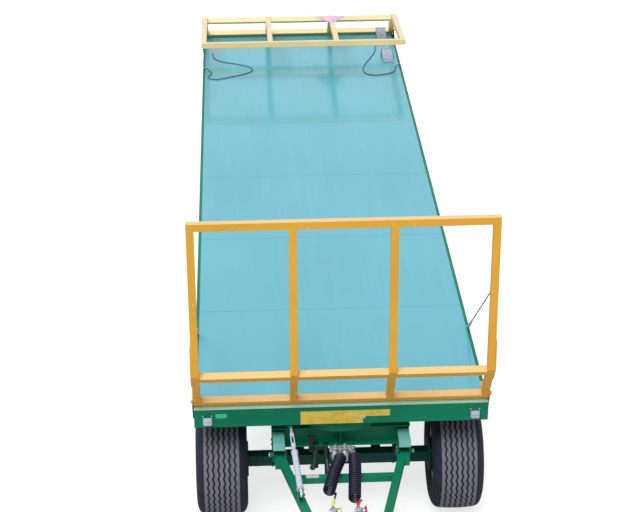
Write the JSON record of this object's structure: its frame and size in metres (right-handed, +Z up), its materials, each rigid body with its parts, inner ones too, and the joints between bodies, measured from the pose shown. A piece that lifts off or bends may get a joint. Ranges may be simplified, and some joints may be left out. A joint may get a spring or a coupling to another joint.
{
  "type": "hay wagon",
  "caption": "Flat-deck bale trailer with a steel platform, kinked tube end frames, a turntable front bogie with an A-shaped drawbar, leaf springs and low wide wheels.",
  "frame": {"origin": "on the ground under the middle of the overall length and width", "axes": "+Z up, +Y towards the rear, so the drawbar points to -Y, +X across"},
  "size_m": [2.458, 11.7257, 3.059],
  "materials": {
    "green_paint": "gloss green paint on steel",
    "deck_paint": "glossy green paint on sheet steel",
    "yellow_paint": "worn yellow paint on steel tube",
    "galvanised": "zinc-plated steel",
    "tyre": "black tyre rubber",
    "rim_paint": "silver paint on steel",
    "black_paint": "black paint on steel",
    "hose_plastic": "coiled nylon hose",
    "rope_fibre": "dark braided rope",
    "cast_metal": "cast metal",
    "lamp_plastic": "clear moulded lens",
    "lens_plastic": "red moulded lens",
    "sign_plastic": "red reflecting sheet"
  },
  "bodies": {
    "chassis": {"chassis_frame": "green_paint", "side_rail_left": "green_paint", "side_rail_right": "green_paint", "front_beam": "green_paint", "rear_beam": "green_paint", "floor_sheet_1": "deck_paint", "floor_sheet_2": "deck_paint", "floor_sheet_3": "deck_paint", "floor_sheet_4": "deck_paint", "floor_sheet_5": "deck_paint", "floor_sheet_6": "deck_paint", "front_frame": "yellow_paint", "front_stay_left": "galvanised", "front_stay_right": "galvanised", "front_lamp_left": "lamp_plastic", "front_lamp_right": "lamp_plastic", "rear_lamp_left": "lens_plastic", "rear_lamp_right": "lens_plastic", "slewing_ring_upper": "green_paint", "rear_subframe": "green_paint", "leaf_spring_rear_left": "black_paint", "leaf_spring_rear_right": "black_paint", "rear_axle": "green_paint", "air_tank": "black_paint", "wheel_chock_1": "galvanised", "wheel_chock_2": "galvanised", "slack_rope_left": "rope_fibre", "slack_rope_right": "rope_fibre", "rope_hook_left": "galvanised", "rope_hook_right": "galvanised"},
    "bogie": {"bogie_frame": "green_paint", "slewing_ring_lower": "green_paint", "leaf_spring_front_left": "black_paint", "leaf_spring_front_right": "black_paint", "front_axle": "green_paint", "brake_valve": "cast_metal"},
    "drawbar": {"drawbar_frame": "green_paint", "tow_eye": "green_paint", "coiled_hose_yellow": "hose_plastic", "coiled_hose_red": "hose_plastic", "coupling_head_yellow": "cast_metal", "coupling_head_red": "cast_metal"},
    "strut_tube": {"strut_tube": "galvanised"},
    "strut_rod": {"strut_rod": "galvanised"},
    "rear_frame": {"rear_frame": "yellow_paint", "warning_triangle": "sign_plastic"},
    "wheel_front_left": {"tyre_front_left": "tyre", "rim_front_left": "rim_paint"},
    "wheel_front_right": {"tyre_front_right": "tyre", "rim_front_right": "rim_paint"},
    "wheel_rear_left": {"tyre_rear_left": "tyre", "rim_rear_left": "rim_paint"},
    "wheel_rear_right": {"tyre_rear_right": "tyre", "rim_rear_right": "rim_paint"}
  },
  "joints": [
    {"name": "bogie_turn", "type": "hinge", "parent": "chassis", "child": "bogie", "pos_m": [0, -2.8975, 1], "axis": [0, 0, 1], "range_deg": [-90, 90]},
    {"name": "drawbar_hinge", "type": "hinge", "parent": "bogie", "child": "drawbar", "pos_m": [0, -3.3575, 0.8], "axis": [-1, 0, 0], "range_deg": [-17, 12]},
    {"name": "strut_hinge", "type": "hinge", "parent": "drawbar", "child": "strut_tube", "pos_m": [-0.362, -4.0875, 0.885], "axis": [-1, 0, 0], "range_deg": [-3, 4]},
    {"name": "strut_slide", "type": "slide", "parent": "strut_tube", "child": "strut_rod", "axis": [-0.0732, 0.978, 0.1956], "range_m": [-0.055, 0.075]},
    {"name": "rear_frame_hinge", "type": "hinge", "parent": "chassis", "child": "rear_frame", "pos_m": [0, 5.7625, 1.32], "axis": [-1, 0, 0], "range_deg": [0, 84.5]},
    {"name": "wheel_spin_front_left", "type": "hinge", "parent": "bogie", "child": "wheel_front_left", "pos_m": [-1, -2.8975, 0.47369], "axis": [1, 0, 0], "continuous": true},
    {"name": "wheel_spin_front_right", "type": "hinge", "parent": "bogie", "child": "wheel_front_right", "pos_m": [1, -2.8975, 0.47369], "axis": [1, 0, 0], "continuous": true},
    {"name": "wheel_spin_rear_left", "type": "hinge", "parent": "chassis", "child": "wheel_rear_left", "pos_m": [-1, 3.9125, 0.47369], "axis": [1, 0, 0], "continuous": true},
    {"name": "wheel_spin_rear_right", "type": "hinge", "parent": "chassis", "child": "wheel_rear_right", "pos_m": [1, 3.9125, 0.47369], "axis": [1, 0, 0], "continuous": true}
  ],
  "couplings": [
    {"joint": "strut_hinge", "follows": "drawbar_hinge", "ratio": -0.125},
    {"joint": "strut_slide", "follows": "drawbar_hinge", "m_per_rad": -0.22}
  ]
}
